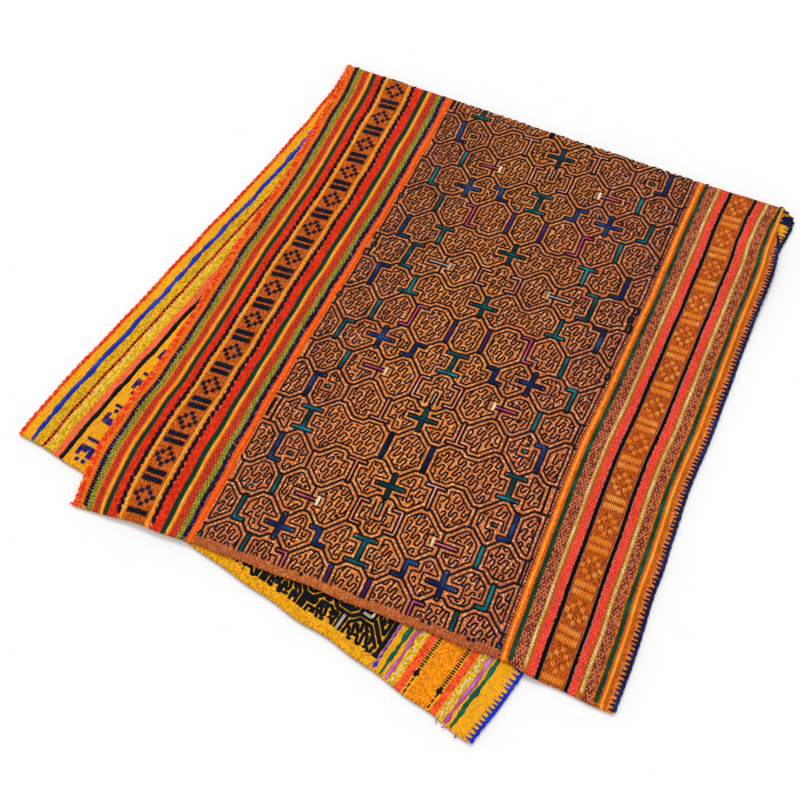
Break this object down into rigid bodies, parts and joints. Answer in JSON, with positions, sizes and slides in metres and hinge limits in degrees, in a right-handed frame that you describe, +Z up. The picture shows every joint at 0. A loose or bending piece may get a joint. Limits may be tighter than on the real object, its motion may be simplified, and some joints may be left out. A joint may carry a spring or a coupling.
{
  "type": "folded embroidered cloth panel",
  "caption": "Woven and embroidered wrap cloth folded once across and lying flat, its maze-patterned centre set between striped bands with rows of woven motifs.",
  "frame": {"origin": "middle of the folded cloth's plan, on the surface that it lies on", "axes": "+X along the fold, from the red-edged band to the blue-edged one; +Y from the open hems towards the fold; +Z up, out of the upper layer's face"},
  "size_m": [0.7724, 0.796, 0.007],
  "materials": {
    "left_band_cloth": "warp-faced striped wool weave, matt, with woven navy motifs",
    "centre_cloth": "plain-woven brown-orange cotton, matt, covered in dark line embroidery",
    "right_band_cloth": "warp-faced striped wool weave, matt, with woven orange motifs"
  },
  "bodies": {
    "root": {"left_band": "left_band_cloth", "centre_panel": "centre_cloth", "right_band": "right_band_cloth"}
  },
  "joints": []
}
